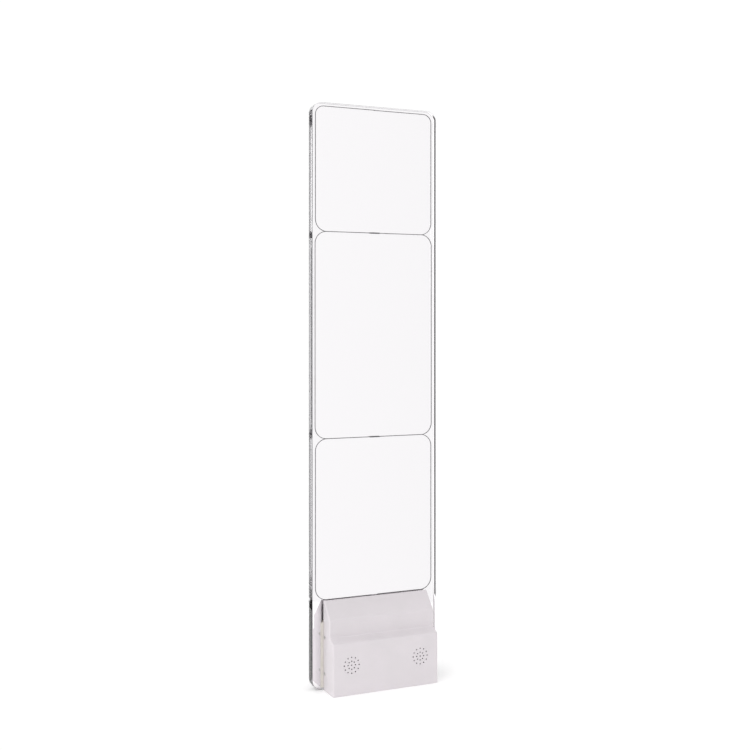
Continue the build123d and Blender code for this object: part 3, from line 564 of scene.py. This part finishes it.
def clear_panel():
    """The two bonded sheets as one clear slab, with flame-polished rounded arrises."""
    bm = bmesh.new()
    sections = []
    for side in (-1, 1):
        for step in range(4):
            turn = math.radians(30 * step)
            inset = PANEL_ARRIS * (1 - math.sin(turn))
            y = side * (PANEL_HALF - PANEL_ARRIS * (1 - math.cos(turn)))
            sections.append((y, inset))
    sections.sort()
    stacks = [[] for _ in panel_loops(0)]
    for y, inset in sections:
        for stack, loop in zip(stacks, panel_loops(inset)):
            stack.append([bm.verts.new((x, y, z)) for x, z in loop])
    for stack in stacks:
        bridge(bm, stack, material=1)
    for end in (0, -1):
        edges = []
        for stack in stacks:
            ring = stack[end]
            edges += [bm.edges.get((a, b)) for a, b in zip(ring, ring[1:] + ring[:1])]
        bmesh.ops.triangle_fill(bm, edges=edges, use_beauty=True)
    piece = keep(bm, "acrylic_panel", "acrylic", smooth=35, extra=(edge_look,))
    depths = [abs(vert.co.y) for vert in piece.data.vertices]
    for edge in piece.data.edges:
        if min(depths[i] for i in edge.vertices) > (PANEL_HALF - FLAT_MARGIN) * MM:
            edge.use_edge_sharp = True
    return piece


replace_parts(clear_panel(), "front_sheet", "rear_sheet")


# ---------------------------------------------------------------- antenna

STRAND_WIDTH, STRAND_DEPTH = 1.6, 3
# Each strand's side of the middle and its rearmost Y
STRAND_BACKS = ((-1, -0.4), (1, 3.4))
LOOP_X = 176
LOOP_LEVELS = (242.5, 682, 1249, 1591.2)
LOOP_CORNER, TOP_CORNER = 33, 24
LEG_X, LEG_MOUTH, LEG_BEND, LEG_FOOT = 3.5, 10, 235, 203
TONGUE_FRONT, TONGUE_HEIGHT, TONGUE_INSET = -17, 3, 1
JOINT_HALF = 1.5


def antenna():
    """Both strands of the antenna, their joint at the top and their tongues at the foot."""
    bm = bmesh.new()
    low, lower, upper, top = LOOP_LEVELS
    half = STRAND_WIDTH / 2
    for side, back in STRAND_BACKS:
        leg, near, far = side * LEG_X, side * LOOP_X, -side * LOOP_X
        corners = [
            (leg, LEG_FOOT), (leg, LEG_BEND), (side * LEG_MOUTH, low), (near, low), (near, lower),
            (far, lower), (far, upper), (near, upper), (near, top), (0, top),
        ]
        points = rounded_route(corners, [2, 2] + [LOOP_CORNER] * 5 + [TOP_CORNER])
        add_strip(bm, points, back, STRAND_WIDTH, STRAND_DEPTH)
        tongue_top = (leg + half, back - TONGUE_INSET, LEG_FOOT + TONGUE_HEIGHT)
        add_block(bm, (leg - half, TONGUE_FRONT, LEG_FOOT), tongue_top)
    front, rear = STRAND_BACKS[0][1] - STRAND_DEPTH, STRAND_BACKS[1][1]
    add_block(bm, (-JOINT_HALF, front, top - half), (JOINT_HALF, rear, top + half))
    return keep(bm, "antenna_strands", "antenna_conductor", smooth=40)


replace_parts(antenna(), "antenna_conductor")


# ---------------------------------------------------------------- stage, light and camera

FLOOR_RADIUS = 0.9
FLOOR_GLOW = 0.16
FLOOR_COLOUR, FLOOR_ROUGHNESS = (0.9, 0.9, 0.9), 0.9


def floor():
    """Round pale floor that fades into the white surround."""
    bm = bmesh.new()
    bmesh.ops.create_circle(bm, cap_ends=True, segments=96, radius=FLOOR_RADIUS)
    mesh = bpy.data.meshes.new("floor")
    bm.to_mesh(mesh)
    bm.free()
    piece = bpy.data.objects.new("floor", mesh)
    bpy.context.scene.collection.objects.link(piece)
    look = Look("pale_floor", FLOOR_COLOUR, FLOOR_ROUGHNESS)
    look.shader.inputs["Specular IOR Level"].default_value = 0
    look.shader.inputs["Emission Color"].default_value = (1, 1, 1, 1)
    look.shader.inputs["Emission Strength"].default_value = FLOOR_GLOW
    mesh.materials.append(look.material)


floor()

# Level direction of each flag and its darkness
FLAGS = ((-0.40, 0.916, 0.92), (0.40, -0.916, 0.6))
FLAG_EDGES = (15, 9)
FLAG_TOP = (0.34, 0.46)
LEFT_LIGHT, RIGHT_LIGHT = 1.2, 0.9
BACKDROP_LIGHT = 1.035
SHALLOW_DEPTH = 2.5


def studio_world():
    """White surround, brighter on the left, with a dark flag in front and one behind.

    The camera sees a plain backdrop, also straight through the panel. Only light that falls on
    the object, and rays led along inside the panel, meet the flags.
    """
    world = bpy.data.worlds.new("studio")
    bpy.context.scene.world = world
    world.use_nodes = True
    tree = world.node_tree
    background = tree.nodes["Background"]

    def make(kind, *values, **settings):
        made = tree.nodes.new("ShaderNode" + kind)
        for key, value in settings.items():
            setattr(made, key, value)
        for socket, value in enumerate(values):
            if isinstance(value, bpy.types.NodeSocket):
                tree.links.new(value, made.inputs[socket])
            else:
                made.inputs[socket].default_value = value
        return made.outputs

    way = make("TexCoord")["Generated"]
    flat = make("VectorMath", way, (1, 1, 0), operation="MULTIPLY")[0]
    level = make("VectorMath", flat, operation="NORMALIZE")[0]
    east, _, height = make("SeparateXYZ", way)[:3]
    steepness = make("Math", height, operation="ABSOLUTE")[0]
    near_level = make("MapRange", steepness, *FLAG_TOP, 1.0, 0.0)[0]
    light = make("MapRange", east, -1.0, 1.0, LEFT_LIGHT, RIGHT_LIGHT)[0]
    for x, y, darkness in FLAGS:
        facing = make("VectorMath", level, (x, y, 0), operation="DOT_PRODUCT")[1]
        edges = [math.cos(math.radians(degrees)) for degrees in FLAG_EDGES]
        inside = make("MapRange", facing, *edges, 0.0, darkness)[0]
        shade = make("Math", inside, near_level, operation="MULTIPLY")[0]
        clear = make("Math", 1.0, shade, operation="SUBTRACT")[0]
        light = make("Math", light, clear, operation="MULTIPLY")[0]
    path = make("LightPath")
    shallow = make("Math", path["Ray Depth"], SHALLOW_DEPTH, operation="LESS_THAN")[0]
    through = make("Math", shallow, path["Is Transmission Ray"], operation="MULTIPLY")[0]
    backdrop = make("Math", through, path["Is Camera Ray"], operation="MAXIMUM")[0]
    strength = make("MapRange", backdrop, 0.0, 1.0, light, BACKDROP_LIGHT)[0]
    tree.links.new(strength, background.inputs["Strength"])
    background.inputs["Color"].default_value = (1, 1, 1, 1)


def softbox(name, place, target, size, power):
    lamp = bpy.data.lights.new(name, "AREA")
    lamp.shape = "SQUARE"
    lamp.size = size
    lamp.energy = power
    piece = bpy.data.objects.new(name, lamp)
    bpy.context.scene.collection.objects.link(piece)
    piece.location = place
    piece.rotation_euler = (Vector(target) - Vector(place)).to_track_quat("-Z", "Y").to_euler()


studio_world()
softbox("key_softbox", (-3.2, -2.6, 2.2), (0, 0, 0.5), 2.2, 32)

# The view: 1 m up and level, from the front left
VIEW_PLACE = (-1.231, -2.817, 0.9995)
VIEW_HEADING = math.atan2(0.4015, 0.9158)
camera_data = bpy.data.cameras.new("photo_view")
camera_data.lens = 52.86
camera_data.sensor_width = 36
camera_data.shift_y = -0.0698
camera = bpy.data.objects.new("photo_view", camera_data)
bpy.context.scene.collection.objects.link(camera)
camera.location = VIEW_PLACE
camera.rotation_euler = (math.pi / 2, 0, -VIEW_HEADING)
bpy.context.scene.camera = camera
bpy.context.scene.view_settings.view_transform = "Standard"

# Light takes many turns inside the panel before it leaves at an edge
LIGHT_TURNS = 40
for limit in ("max_bounces", "glossy_bounces", "transmission_bounces"):
    setattr(bpy.context.scene.cycles, limit, LIGHT_TURNS)
